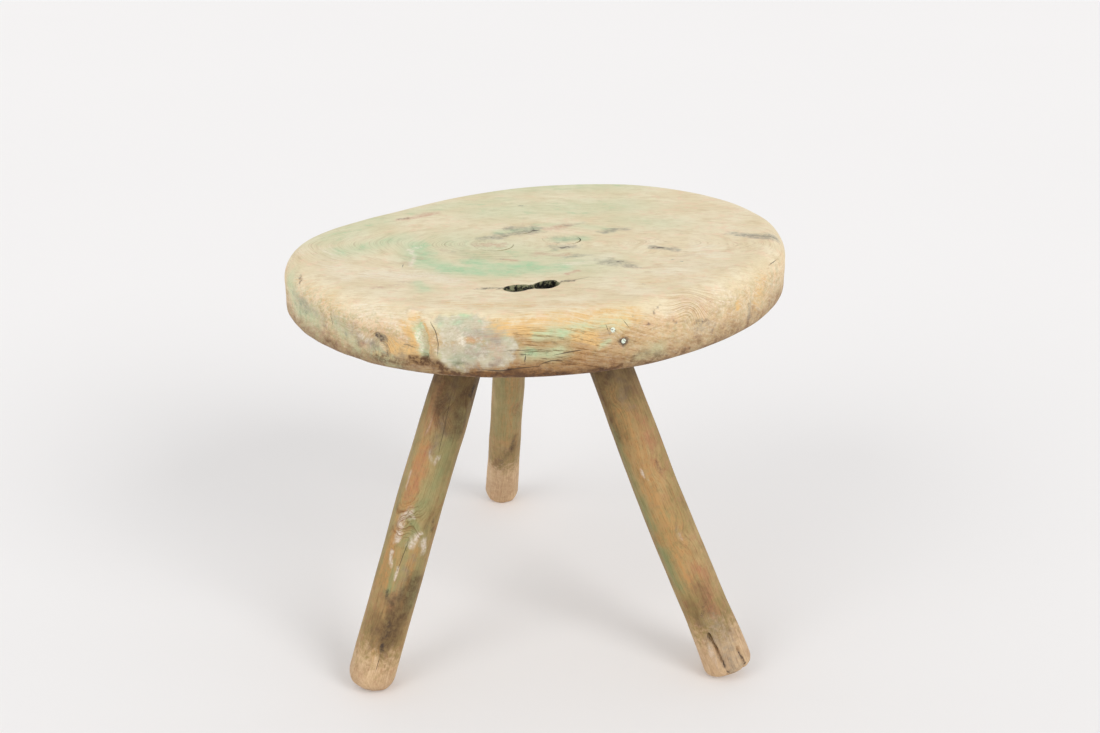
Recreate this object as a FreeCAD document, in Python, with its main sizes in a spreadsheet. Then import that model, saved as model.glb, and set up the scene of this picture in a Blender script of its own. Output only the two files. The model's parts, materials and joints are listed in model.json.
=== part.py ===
import FreeCAD, Part
import os
import Sketcher
from math import cos, radians, sin

# A three-legged milking stool. The seat is one thick slab, roughly round, and each leg is one splayed,
# shaved pole. The top of each leg is a tapered tenon that goes right through the seat, where a wedge
# driven into a saw kerf spreads it. +Z is up, the floor is Z = 0, and the origin is under the middle of
# the whole stool's box.

LEGS = ("front_left", "front_right", "rear")
NAILS = ("upper_nail", "lower_nail")
UNDERSIDE = ("Sizes.seat_centre_x", "Sizes.seat_centre_y", "Sizes.stool_height - Sizes.seat_thickness")
POLE_STEP = 30  # degrees from one control point of a round outline to the next

SIZES = {
    "stool_height": 310,
    # The seat slab. Its outline is given by the distances of its control points from the seat's centre.
    "seat_thickness": 42,
    "top_rounding": 16,
    "bottom_rounding": 7,
    "seat_centre_x": 0.1,
    "seat_centre_y": -31.5,
    "rim_0": 183,
    "rim_30": 200,
    "rim_60": 197,
    "rim_90": 171,
    "rim_120": 146,
    "rim_150": 148,
    "rim_180": 190,
    "rim_210": 189,
    "rim_240": 185,
    "rim_270": 173,
    "rim_300": 163,
    "rim_330": 165,
    # The rot hole in the seat's top: its centre from the seat's centre, its depth and its outline.
    "hole_x": -5,
    "hole_y": -106,
    "hole_depth": 24,
    "hole_0": 16,
    "hole_30": 22,
    "hole_60": 19,
    "hole_90": 3,
    "hole_120": 4,
    "hole_150": 10,
    "hole_180": 19,
    "hole_210": 20,
    "hole_240": 15,
    "hole_270": 4,
    "hole_300": 6,
    "hole_330": 12,
    # What the legs share. Each leg is measured along its own axis, down from the seat's top.
    "tenon_length": 60,
    "tenon_stub": 10,
    "tenon_gap": 0.05,
    "middle_share": 0.4,
    "ankle_share": 0.85,
    "foot_wear": 1,
    "kerf_depth": 30,
    "kerf_mouth": 5,
    "kerf_root": 1.2,
    "wedge_gap": 0.05,
    # Each leg: where its axis meets the seat's top, the way it leans, its radii from the top down.
    "front_left_x": -32.2,
    "front_left_y": -14.6,
    "front_left_azimuth": -139.5,
    "front_left_splay": 21.7,
    "front_left_tenon": 13,
    "front_left_shoulder": 15.4,
    "front_left_middle": 16.9,
    "front_left_ankle": 17,
    "front_left_foot": 17,
    "front_left_rounding": 13,
    "front_left_kerf_turn": 38,
    "front_left_wedge_width": 24.8,
    "front_right_x": 14.2,
    "front_right_y": 0,
    "front_right_azimuth": -31.7,
    "front_right_splay": 25.4,
    "front_right_tenon": 12.3,
    "front_right_shoulder": 15,
    "front_right_middle": 16,
    "front_right_ankle": 16.8,
    "front_right_foot": 18,
    "front_right_rounding": 6,
    "front_right_kerf_turn": -50,
    "front_right_wedge_width": 23.4,
    "rear_x": -16.3,
    "rear_y": 26,
    "rear_azimuth": 96.3,
    "rear_splay": 32.5,
    "rear_tenon": 11,
    "rear_shoulder": 12.6,
    "rear_middle": 13.3,
    "rear_ankle": 13.8,
    "rear_foot": 14.8,
    "rear_rounding": 5,
    "rear_kerf_turn": 9,
    "rear_wedge_width": 20.8,
    # The two nails in the rim. Each has its outer end's place, from the middle of the seat's underside,
    # the compass direction that it points out in, and how far it points up from level.
    "nail_radius": 1.3,
    "nail_length": 24,
    "nail_point": 5,
    "nail_gap": 0.05,
    "upper_nail_x": 45.6,
    "upper_nail_y": -153.1,
    "upper_nail_z": 29,
    "upper_nail_azimuth": -67.5,
    "upper_nail_tilt": 10,
    "lower_nail_x": 52.4,
    "lower_nail_y": -150.5,
    "lower_nail_z": 20.8,
    "lower_nail_azimuth": -65,
    "lower_nail_tilt": 0,
}

doc = FreeCAD.newDocument("MilkingStool")


def make_sheet():
    """Puts every driving size in the spreadsheet, its name in column A and its value in column B."""
    sheet = doc.addObject("Spreadsheet::Sheet", "Sizes")
    for row, (name, value) in enumerate(SIZES.items(), start=1):
        sheet.set(f"A{row}", name)
        sheet.set(f"B{row}", str(value))
        sheet.setAlias(f"B{row}", name)
    doc.recompute()


def new_body(name):
    return doc.addObject("PartDesign::Body", name)


def new_sketch(body, role, name):
    """A sketch on one of the body's own origin planes."""
    plane = next(item for item in body.Origin.OriginFeatures if item.Role == role)
    sketch = body.newObject("Sketcher::SketchObject", name)
    sketch.AttachmentSupport = [(plane, "")]
    sketch.MapMode = "FlatFace"
    return sketch


def pin_point(sketch, geometry, corner, place, label):
    """Ties a point of the sketch to a pair of expressions, measured from the sketch's origin."""
    start = sketch.getPoint(geometry, corner)
    for kind, value, expression in (("DistanceX", start.x, place[0]), ("DistanceY", start.y, place[1])):
        index = sketch.addConstraint(Sketcher.Constraint(kind, -1, 1, geometry, corner, value))
        name = f"{label}_{kind[-1].lower()}"
        sketch.renameConstraint(index, name)
        sketch.setExpression(f"Constraints.{name}", expression)


def polygon(sketch, corners):
    """A closed run of straight lines whose corners are pairs of expressions."""
    count = len(corners)
    turns = [radians(360 * i / count) for i in range(count)]
    ring = [FreeCAD.Vector(cos(turn), sin(turn), 0) for turn in turns]
    for i in range(count):
        sketch.addGeometry(Part.LineSegment(ring[i], ring[(i + 1) % count]), False)
    for i in range(count):
        sketch.addConstraint(Sketcher.Constraint("Coincident", i, 2, (i + 1) % count, 1))
    for i, corner in enumerate(corners):
        pin_point(sketch, i, 1, corner, f"corner_{i}")


def round_outline(sketch, prefix, centre):
    """A smooth closed curve, its control points at even angles and the prefix's distances from the centre."""
    angles = range(0, 360, POLE_STEP)
    poles = [FreeCAD.Vector(cos(radians(a)), sin(radians(a)), 0) * SIZES[f"{prefix}_{a}"] for a in angles]
    curve = Part.BSplineCurve()
    curve.buildFromPolesMultsKnots(poles, [1] * (len(poles) + 1), list(range(len(poles) + 1)), True, 3)
    spline = sketch.addGeometry(curve, False)
    sketch.exposeInternalGeometry(spline)
    for number, angle in enumerate(angles, start=spline + 1):
        reach = f"Sizes.{prefix}_{angle}"
        place = (f"{centre[0]} + {reach} * cos({angle} deg)", f"{centre[1]} + {reach} * sin({angle} deg)")
        pin_point(sketch, number, 3, place, f"pole_{angle}")


def bind(feature, **expressions):
    for name, expression in expressions.items():
        feature.setExpression(name, expression)


def edges_at(feature, level):
    """The names of the feature's edges that lie wholly at one height."""
    names = []
    for number, edge in enumerate(feature.Shape.Edges, start=1):
        box = edge.BoundBox
        if max(abs(box.ZMin - level), abs(box.ZMax - level)) < 0.001:
            names.append(f"Edge{number}")
    return names


def round_edges(body, feature, level, name, radius):
    """A fillet on every edge of the feature at that height."""
    fillet = body.newObject("PartDesign::Fillet", name)
    fillet.Base = (feature, edges_at(feature, level))
    bind(fillet, Radius=radius)
    doc.recompute()
    return fillet


def cut_round_hole(body, kind, name, place, **sizes):
    """A cone or cylinder cut out of the body, its own +Z along the hole. It has to take material away."""
    before = body.Shape.Volume
    hole = body.newObject(f"PartDesign::Subtractive{kind}", name)
    bind(hole, Placement=place, **sizes)
    doc.recompute()
    if not body.Shape.Volume < before - 1:
        raise RuntimeError(f"{name} cuts nothing")


def stub_radius(leg):
    """The tenon's radius at the end of the stub that is cut off level with the seat's top."""
    slope = f"(Sizes.{leg}_shoulder - Sizes.{leg}_tenon) / Sizes.tenon_length"
    return f"Sizes.{leg}_tenon - Sizes.tenon_stub * {slope}"


def leg_length(leg):
    """The length that brings the inner edge of the leg's rounded foot just past the floor."""
    lean = f"Sizes.{leg}_splay * 1 deg"
    inner = f"(Sizes.{leg}_foot - Sizes.{leg}_rounding) * sin({lean})"
    drop = f"Sizes.stool_height - {inner} - Sizes.{leg}_rounding + Sizes.foot_wear"
    return f"(Sizes.{leg}_rounding + ({drop}) / cos({lean}))"


def bore_place(leg):
    """Above the seat's top on the leg's axis, +Z down the leg, in the seat's own frame."""
    lean = f"Sizes.{leg}_splay * 1 deg"
    turn = f"Sizes.{leg}_azimuth * 1 deg"
    x = f"Sizes.{leg}_x - Sizes.tenon_stub * sin({lean}) * cos({turn})"
    y = f"Sizes.{leg}_y - Sizes.tenon_stub * sin({lean}) * sin({turn})"
    z = f"Sizes.seat_thickness + Sizes.tenon_stub * cos({lean})"
    return f"placement(vector({x}; {y}; {z}); rotationz({turn}) * rotationy(180 deg - {lean}))"


def leg_place(leg):
    """On the seat's top where the leg's axis meets it, -Z down the leg, turned as its kerf lies."""
    x = f"Sizes.seat_centre_x + Sizes.{leg}_x"
    y = f"Sizes.seat_centre_y + Sizes.{leg}_y"
    lean = f"rotationz(Sizes.{leg}_azimuth * 1 deg) * rotationy(-Sizes.{leg}_splay * 1 deg)"
    turn = f"rotationz(Sizes.{leg}_kerf_turn * 1 deg)"
    return f"placement(vector({x}; {y}; Sizes.stool_height); {lean} * {turn})"


def nail_place(nail, depth, start):
    """A point down the nail from its outer end, +Z out of the rim. The start is under the seat's middle."""
    turn = f"Sizes.{nail}_azimuth * 1 deg"
    tilt = f"Sizes.{nail}_tilt * 1 deg"
    x = f"{start[0]} + Sizes.{nail}_x - {depth} * cos({tilt}) * cos({turn})"
    y = f"{start[1]} + Sizes.{nail}_y - {depth} * cos({tilt}) * sin({turn})"
    z = f"{start[2]} + Sizes.{nail}_z - {depth} * sin({tilt})"
    return f"placement(vector({x}; {y}; {z}); rotationz({turn}) * rotationy(90 deg - {tilt}))"


def make_seat():
    """The slab, its rounded edges, the three tenon bores, the rot hole and the two nail holes."""
    body = new_body("Seat")
    body.Label = "seat"
    bind(body, Placement=f"placement(vector({'; '.join(UNDERSIDE)}); rotationz(0 deg))")

    outline = new_sketch(body, "XY_Plane", "SeatOutline")
    round_outline(outline, "rim", ("0", "0"))
    slab = body.newObject("PartDesign::Pad", "Slab")
    slab.Profile = outline
    bind(slab, Length="Sizes.seat_thickness")
    doc.recompute()
    worn = round_edges(body, slab, SIZES["seat_thickness"], "WornTopEdge", "Sizes.top_rounding")
    round_edges(body, worn, 0, "BottomEdge", "Sizes.bottom_rounding")

    for leg in LEGS:
        depth = "Sizes.tenon_stub + Sizes.tenon_length"
        top = f"{stub_radius(leg)} + Sizes.tenon_gap"
        bottom = f"Sizes.{leg}_shoulder + Sizes.tenon_gap"
        place = bore_place(leg)
        cut_round_hole(body, "Cone", f"bore_{leg}", place, Height=depth, Radius1=top, Radius2=bottom)

    before = body.Shape.Volume
    mouth = new_sketch(body, "XY_Plane", "RotHoleMouth")
    mouth.setExpression("AttachmentOffset.Base.z", "Sizes.seat_thickness")
    round_outline(mouth, "hole", ("Sizes.hole_x", "Sizes.hole_y"))
    rot_hole = body.newObject("PartDesign::Pocket", "RotHole")
    rot_hole.Profile = mouth
    bind(rot_hole, Length="Sizes.hole_depth")
    doc.recompute()
    if not body.Shape.Volume < before - 1:
        raise RuntimeError("the rot hole cuts nothing")

    for nail in NAILS:
        radius = "Sizes.nail_radius + Sizes.nail_gap"
        length = "Sizes.nail_length + Sizes.nail_point"
        place = nail_place(nail, "Sizes.nail_length", ("0", "0", "0"))
        cut_round_hole(body, "Cylinder", f"hole_{nail}", place, Radius=radius, Height=length)
    return body


def revolve(body, sketch, name):
    """Turns the sketch a full turn about its vertical axis."""
    turned = body.newObject("PartDesign::Revolution", name)
    turned.Profile = sketch
    turned.ReferenceAxis = (sketch, ["V_Axis"])
    turned.Angle = 360
    doc.recompute()
    return turned


def kerf_corners(thinner):
    """The tapered slot for the wedge, or the wedge, which is thinner by a gap on each side."""
    mouth = f"(Sizes.kerf_mouth / 2 - {thinner})"
    root = f"(Sizes.kerf_root / 2 - {thinner})"
    rise = "Sizes.tenon_stub"
    flare = f"({mouth} + ({mouth} - {root}) * {rise} / Sizes.kerf_depth)"
    bottom = "-Sizes.kerf_depth"
    return [(f"-{root}", bottom), (root, bottom), (flare, rise), (f"-{flare}", rise)]


def make_leg(leg):
    """One shaved pole: a tapered tenon, a swelling shaft, a rounded foot and the kerf for its wedge."""
    body = new_body(f"pole_{leg}")
    bind(body, Placement=leg_place(leg))
    length = leg_length(leg)
    profile = new_sketch(body, "XZ_Plane", f"profile_{leg}")
    polygon(
        profile,
        [
            ("0", "Sizes.tenon_stub"),
            ("0", f"-{length}"),
            (f"Sizes.{leg}_foot", f"-{length}"),
            (f"Sizes.{leg}_ankle", f"-{length} * Sizes.ankle_share"),
            (f"Sizes.{leg}_middle", f"-{length} * Sizes.middle_share"),
            (f"Sizes.{leg}_shoulder", "-Sizes.tenon_length"),
            (stub_radius(leg), "Sizes.tenon_stub"),
        ],
    )
    pole = revolve(body, profile, f"turned_{leg}")
    lowest = pole.Shape.BoundBox.ZMin
    round_edges(body, pole, lowest, f"foot_{leg}", f"Sizes.{leg}_rounding")

    before = body.Shape.Volume
    kerf = new_sketch(body, "XZ_Plane", f"kerf_{leg}")
    polygon(kerf, kerf_corners("0"))
    slot = body.newObject("PartDesign::Pocket", f"slot_{leg}")
    slot.Profile = kerf
    slot.Type = "ThroughAll"
    slot.Midplane = True
    doc.recompute()
    if not body.Shape.Volume < before - 1:
        raise RuntimeError(f"slot_{leg} cuts nothing")
    return trimmed(body, f"leg_{leg}")


def make_wedge(leg):
    """The wedge that fills the kerf, a little narrower than the tenon."""
    body = new_body(f"wedge_blank_{leg}")
    bind(body, Placement=leg_place(leg))
    outline = new_sketch(body, "XZ_Plane", f"wedge_outline_{leg}")
    polygon(outline, kerf_corners("Sizes.wedge_gap"))
    blank = body.newObject("PartDesign::Pad", f"wedge_pad_{leg}")
    blank.Profile = outline
    blank.Midplane = True
    bind(blank, Length=f"Sizes.{leg}_wedge_width")
    doc.recompute()
    return trimmed(body, f"wedge_{leg}")


def make_space():
    """The space from the floor up to the seat's top. What is left of a leg or wedge is the part inside it."""
    box = doc.addObject("Part::Box", "FloorToTop")
    reach = "Sizes.stool_height"
    bind(box, Length=f"2 * {reach}", Width=f"2 * {reach}", Height=reach)
    bind(box, Placement=f"placement(vector(-{reach}; -{reach}; 0); rotationz(0 deg))")
    return box


def trimmed(body, label):
    """The body cut off level with the seat's top and with the floor."""
    common = doc.addObject("Part::Common", f"trimmed_{label}")
    common.Base = body
    common.Tool = space
    common.Label = label
    return common


def make_nail(nail):
    """A headless nail with its outer end at the body's origin and its point down -Z."""
    body = new_body(nail)
    bind(body, Placement=nail_place(nail, "0", UNDERSIDE))
    profile = new_sketch(body, "XZ_Plane", f"profile_{nail}")
    radius = "Sizes.nail_radius"
    neck = "Sizes.nail_point - Sizes.nail_length"
    polygon(profile, [("0", "0"), ("0", "-Sizes.nail_length"), (radius, neck), (radius, "0")])
    revolve(body, profile, f"turned_{nail}")
    return body


def make_nails():
    both = doc.addObject("Part::Compound", "EdgeNails")
    both.Links = [make_nail(nail) for nail in NAILS]
    both.Label = "edge_nails"
    return both


def check(pieces):
    """Stops if any object failed or any piece isn't a sound solid."""
    for item in doc.Objects:
        if "Invalid" in item.State or "Error" in item.State:
            raise RuntimeError(f"{item.Label} failed: {item.State}")
    for piece in pieces:
        if piece.Shape.isNull() or not piece.Shape.isValid() or not piece.Shape.Solids:
            raise RuntimeError(f"{piece.Label} is not a sound solid")


def write(pieces):
    os.makedirs("parts", exist_ok=True)
    for piece in pieces:
        piece.Shape.exportStep(f"parts/{piece.Label}.step")
        box = piece.Shape.optimalBoundingBox()
        low = f"{box.XMin:.2f} {box.YMin:.2f} {box.ZMin:.2f}"
        high = f"{box.XMax:.2f} {box.YMax:.2f} {box.ZMax:.2f}"
        solids = f"{len(piece.Shape.Solids)} solid, {piece.Shape.Volume:.0f} mm3"
        print(f"{piece.Label}: {solids}, {low} to {high}")


make_sheet()
space = make_space()
pieces = [make_seat()]
pieces += [make_leg(leg) for leg in LEGS]
pieces += [make_wedge(leg) for leg in LEGS]
pieces.append(make_nails())
doc.recompute()
check(pieces)
write(pieces)
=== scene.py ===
import itertools
import json
from math import pi, radians, tau

import bmesh
import bpy
import numpy as np
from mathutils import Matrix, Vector


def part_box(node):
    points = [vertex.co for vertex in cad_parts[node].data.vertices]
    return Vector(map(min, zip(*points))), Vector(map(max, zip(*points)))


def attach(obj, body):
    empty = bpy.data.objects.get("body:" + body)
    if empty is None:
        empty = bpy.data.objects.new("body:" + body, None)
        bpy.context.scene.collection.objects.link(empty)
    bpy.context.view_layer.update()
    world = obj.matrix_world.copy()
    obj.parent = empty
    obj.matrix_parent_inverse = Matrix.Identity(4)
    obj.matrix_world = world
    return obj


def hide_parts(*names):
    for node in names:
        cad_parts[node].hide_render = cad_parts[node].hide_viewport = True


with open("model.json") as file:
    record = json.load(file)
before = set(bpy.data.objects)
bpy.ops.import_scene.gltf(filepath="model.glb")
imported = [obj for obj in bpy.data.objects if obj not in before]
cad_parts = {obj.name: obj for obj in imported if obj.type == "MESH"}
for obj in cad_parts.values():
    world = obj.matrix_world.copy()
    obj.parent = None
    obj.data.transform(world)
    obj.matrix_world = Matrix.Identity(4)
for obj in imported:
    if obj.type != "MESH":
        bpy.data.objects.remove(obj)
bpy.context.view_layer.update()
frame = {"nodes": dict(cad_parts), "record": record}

# The row's frame in millimetres: +Z up, the floor at 0, the rear leg towards +Y. Meshes are worked out
# in millimetres and handed to Blender in metres.
MM = 0.001
SEAT_LOW, SEAT_HIGH = (np.array(corner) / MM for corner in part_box("seat"))
TOP = SEAT_HIGH[2]
UNDER = SEAT_LOW[2]
CENTRE = (SEAT_LOW[:2] + SEAT_HIGH[:2]) / 2
FRONT = -pi / 2

# ---------------------------------------------------------------- numbers for each point


def corner_value(i, j, k, seed):
    """A fixed number from -1 to 1 for each whole-number corner of a lattice."""
    mixed = (i * 374761393 + j * 668265263 + k * 1103515245 + seed * 1274126177) & 0xFFFFFFFF
    mixed = ((mixed ^ (mixed >> 13)) * 1274126177) & 0xFFFFFFFF
    return ((mixed ^ (mixed >> 16)) & 0xFFFF) / 32767.5 - 1


def noise(points, size, seed):
    """Smooth noise from -1 to 1 whose lumps have the given size, one number or one for each axis."""
    scaled = points / np.asarray(size, float)
    base = np.floor(scaled).astype(np.int64)
    part = scaled - base
    part = part * part * (3 - 2 * part)
    total = np.zeros(len(points))
    for corner in itertools.product((0, 1), repeat=3):
        share = np.where(np.array(corner) == 1, part, 1 - part).prod(axis=1)
        total += share * corner_value(*(base + corner).T, seed)
    return total


def step(values, low, high):
    """0 up to low, 1 from high on and smooth between, or the other way round where low is above high."""
    part = np.clip((values - low) / (high - low), 0, 1)
    return part * part * (3 - 2 * part)


def unit(vector):
    return vector / np.linalg.norm(vector)


def from_line(points, corners):
    """How far each point is from a run of straight lines, the way there and how far along the run."""
    corners = np.asarray(corners, float)
    best = np.full(len(points), np.inf)
    way = np.zeros((len(points), 3))
    share = np.zeros(len(points))
    pieces = len(corners) - 1
    for number in range(pieces):
        start, run = corners[number], corners[number + 1] - corners[number]
        along = np.clip((points - start) @ run / (run @ run), 0, 1)
        gap = points - start - along[:, None] * run
        distance = np.linalg.norm(gap, axis=1)
        nearer = distance < best
        best = np.where(nearer, distance, best)
        way = np.where(nearer[:, None], gap, way)
        share = np.where(nearer, (number + along) / pieces, share)
    return best, way, share


def warped(points):
    """The points moved about by noise, so that marks worked out from them get uneven edges."""
    shift = [1.8 * noise(points, 8, seed) + 0.8 * noise(points, 3.1, seed + 3) for seed in (41, 42, 43)]
    return points + np.stack(shift, axis=1)


def marked(points, marks):
    """Up to 1 on the marks, 0 well away. A mark is a run of corners, a half width and a strength."""
    total = np.zeros(len(points))
    for corners, width, strength in marks:
        distance = from_line(points, corners)[0]
        total = np.maximum(total, strength * np.exp(-((distance / width) ** 2)))
    return total


def cracked(points, cracks, outward):
    """The distance across the nearest crack and how near it is, for thin lines finer than the mesh.

    A crack is a run of corners and its half width, and outward gives the way that the surface faces at a
    place. The distance is in half widths, with a sign for the side of the crack, so that it passes evenly
    through 0.
    """
    across = np.full(len(points), 9.0)
    nearness = np.zeros(len(points))
    for corners, width in cracks:
        corners = np.asarray(corners, float)
        distance, way, share = from_line(points, corners)
        sideways = unit(np.cross(corners[-1] - corners[0], outward(corners.mean(axis=0))))
        taper = width * (1 - 0.7 * np.abs(2 * share - 1) ** 3)
        side = way @ sideways
        beyond = (share <= 0) | (share >= 1)
        side = np.where(beyond, np.where(side < 0, -1, 1) * distance, side)
        near = np.exp(-((distance / (5 * width + 2)) ** 4))
        nearer = near > nearness
        across = np.where(nearer, side / taper, across)
        nearness = np.where(nearer, near, nearness)
    return across, nearness


# ---------------------------------------------------------------- the frame's shapes


def read(mesh, name):
    """One of the vectors that a mesh keeps with each of its points."""
    flat = np.empty(len(mesh.vertices) * 3)
    mesh.vertices.foreach_get(name, flat)
    return flat.reshape(-1, 3)


def node_points(node):
    """Every corner of a CAD node's mesh."""
    return read(frame["nodes"][node].data, "co") / MM


def section(node, level):
    """Where the edges of a CAD node's mesh cross a level."""
    points = node_points(node)
    mesh = frame["nodes"][node].data
    ends = np.empty(len(mesh.edges) * 2, int)
    mesh.edges.foreach_get("vertices", ends)
    first, second = points[ends[::2]], points[ends[1::2]]
    crosses = (first[:, 2] - level) * (second[:, 2] - level) < 0
    first, second = first[crosses], second[crosses]
    share = (level - first[:, 2]) / (second[:, 2] - first[:, 2])
    return first + (second - first) * share[:, None]


def middle(points):
    return (points.min(axis=0) + points.max(axis=0)) / 2


def waves(angles, order):
    """A column for each term of a Fourier series."""
    columns = [np.ones_like(angles)]
    for number in range(1, order + 1):
        columns += [np.cos(number * angles), np.sin(number * angles)]
    return np.stack(columns, axis=-1)


class Outline:
    """A smooth closed curve round a centre, fitted to points that lie on it."""

    def __init__(self, points, centre, order):
        self.centre = centre
        self.order = order
        gap = points[:, :2] - centre
        angles = np.arctan2(gap[:, 1], gap[:, 0])
        self.terms = np.linalg.lstsq(waves(angles, order), np.linalg.norm(gap, axis=1), rcond=None)[0]

    def reach(self, angles):
        return waves(angles, self.order) @ self.terms

    def inside(self, points):
        """How far each point lies inside the curve, measured towards the centre."""
        gap = points[:, :2] - self.centre
        return self.reach(np.arctan2(gap[:, 1], gap[:, 0])) - np.linalg.norm(gap, axis=1)


def seat_outline():
    level = UNDER + 12
    points = section("seat", level)
    wall = points[np.linalg.norm(points[:, :2] - CENTRE, axis=1) > 120]
    return Outline(wall, CENTRE, 12)


def hole_outline():
    """The mouth of the rotted hole, round the middle of the record's two boxes of open space."""
    boxes = [opening["box_m"] for opening in frame["record"]["physics"]["openings"]]
    inner = np.array(boxes).reshape(-1, 3)[:, :2] / MM
    centre = middle(inner)
    points = section("seat", TOP - 10)
    near = points[np.linalg.norm(points[:, :2] - centre, axis=1) < 24]
    return Outline(near, centre, 10)


class Pole:
    """A leg's own axes and its radius down its length, read from its CAD node."""

    def __init__(self, name):
        self.name = name
        node = f"leg_{name}"
        high = middle(section(node, TOP * 0.8))
        low = middle(section(node, TOP * 0.15))
        self.axis = unit(low - high)
        self.start = high + self.axis * (TOP - high[2]) / self.axis[2]
        front = np.array([0, -1, 0])
        self.front = unit(front - self.axis * (front @ self.axis))
        self.side = np.cross(self.axis, self.front)
        points = node_points(node)
        down = (points - self.start) @ self.axis
        radius = np.linalg.norm(points - self.start - down[:, None] * self.axis, axis=1)
        bins = np.round(down / 2).astype(int)
        self.downs = np.array([down[bins == number].mean() for number in np.unique(bins)])
        self.radii = np.array([radius[bins == number].max() for number in np.unique(bins)])
        self.length = down.max()

    def radius(self, down):
        return np.interp(down, self.downs, self.radii)

    def place(self, down, turn, radius):
        """The point so far down the axis, so far round it from the front towards -X, and so far out."""
        across = np.cos(turn)[..., None] * self.front + np.sin(turn)[..., None] * self.side
        return self.start + down[..., None] * self.axis + radius[..., None] * across

    def measure(self, points):
        """How far down the axis each point is, how far round it, and how far out."""
        gap = points - self.start
        down = gap @ self.axis
        u, v = gap @ self.front, gap @ self.side
        return down, np.arctan2(v, u), np.hypot(u, v)

    def outward(self, place):
        gap = place - self.start
        return unit(gap - self.axis * (gap @ self.axis))


RIM = seat_outline()
HOLE = hole_outline()
POLES = {name: Pole(name) for name in ("front_left", "front_right", "rear")}

# ---------------------------------------------------------------- meshes


def new_object(name, points, faces):
    mesh = bpy.data.meshes.new(name)
    mesh.from_pydata((np.asarray(points) * MM).tolist(), [], faces)
    mesh.update()
    piece = bpy.data.objects.new(name, mesh)
    bpy.context.scene.collection.objects.link(piece)
    return piece


def skin(name, rings):
    """A closed mesh over rings of points, with a point more in the middle of the first and last rings."""
    rings = np.asarray(rings, float)
    count, around = rings.shape[:2]
    points = np.concatenate([rings.reshape(-1, 3), [rings[0].mean(axis=0)], [rings[-1].mean(axis=0)]])
    first, last = count * around, count * around + 1
    turn = np.arange(around)
    following = (turn + 1) % around
    faces = []
    for base in range(0, (count - 1) * around, around):
        ring, after = base + turn, base + following
        faces += np.stack([ring, after, around + after, around + ring], 1).tolist()
    end = (count - 1) * around
    faces += [[first, b, a] for a, b in zip(turn.tolist(), following.tolist())]
    faces += [[last, end + a, end + b] for a, b in zip(turn.tolist(), following.tolist())]
    piece = new_object(name, points, faces)
    work = bmesh.new()
    work.from_mesh(piece.data)
    bmesh.ops.recalc_face_normals(work, faces=work.faces)
    work.to_mesh(piece.data)
    work.free()
    return piece


def points_of(piece):
    return read(piece.data, "co") / MM


def set_points(piece, points):
    piece.data.vertices.foreach_set("co", (points * MM).ravel())
    piece.data.update()


def push(piece, distance):
    """Moves each point along its own normal."""
    set_points(piece, points_of(piece) + read(piece.data, "normal") * distance[:, None])


def cut(piece, cutters):
    """Takes the cutters out of the piece and removes them."""
    for cutter in cutters:
        change = piece.modifiers.new(cutter.name, "BOOLEAN")
        change.operation = "DIFFERENCE"
        change.solver = "MANIFOLD"
        change.object = cutter
    graph = bpy.context.evaluated_depsgraph_get()
    result = bpy.data.meshes.new_from_object(piece.evaluated_get(graph))
    piece.modifiers.clear()
    piece.data = result
    for cutter in cutters:
        bpy.data.objects.remove(cutter)


# The masks that a wood's material reads, three to a row. KINDS are its stains and worn places, though the
# umber kind also darkens the seat's rim towards the bottom and, as painted shade with some grime, the legs'
# tops under the seat. Across and nearness place the cracks, figure brings out the growth rings, the rot
# mask blackens the hole, near black deeper down as painted shade, and the last row ages the seat's side
# and, as painted shade, darkens the front of its rim.
KINDS = ("mint", "bare", "pale", "ochre", "umber_and_shade", "pink", "grey", "dark")
ROWS = {
    "paint": ("mint", "bare", "pale"),
    "earth": ("ochre", "umber_and_shade", "pink"),
    "stain": ("grey", "dark", "figure"),
    "crack": ("across", "nearness", "rot"),
    "side": ("rim", "front", "crust"),
}


CRISP_EDGE = 45  # degrees, for the edges that smooth shading leaves crisp


def keep(piece, grain, values):
    """Keeps the grain and the masks with the points of the piece, for its material to read."""
    rows = {"grain": grain}
    rows.update({name: np.stack([values[kind] for kind in kinds], axis=1) for name, kinds in ROWS.items()})
    for name, row in rows.items():
        store = piece.data.attributes.new(name, "FLOAT_VECTOR", "POINT")
        store.data.foreach_set("vector", row.astype(np.float32).ravel())


def finish_piece(piece, node, materials):
    """The piece stands for the CAD node, which it hides, with the materials that it is given."""
    piece.data.polygons.foreach_set("use_smooth", np.ones(len(piece.data.polygons), bool))
    piece.data.set_sharp_from_angle(angle=radians(CRISP_EDGE))
    piece.data.materials.clear()
    for material in materials:
        piece.data.materials.append(material)
    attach(piece, "root")
    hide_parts(node)


# ---------------------------------------------------------------- the seat

TOP_ROUNDING = 16
BOTTOM_ROUNDING = 7
RAYS = 520
DETAIL_TURN = 1.44 * pi  # the way from the seat's middle to the scar, where the mesh is finest

# Where each cut begins and ends, in mm down a leg's axis or down from the seat's top.
BORE_ENDS = (-14, 76)
HOLE_ENDS = (-4, 27)

# How wide the gap beside each tenon is, and on which side of it, in degrees from the front towards -X.
GAPS = {"front_left": (0.9, -25), "front_right": (0.8, -75), "rear": (0.5, -40)}


def spread(low, high, count, weight):
    """Numbers from low to high, closer together where the weight is greater."""
    even = np.linspace(low, high, 2001)
    share = weight(even)
    total = np.concatenate([[0], np.cumsum((share[1:] + share[:-1]) / 2)])
    return np.interp(np.linspace(0, total[-1], count), total, even)


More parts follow.
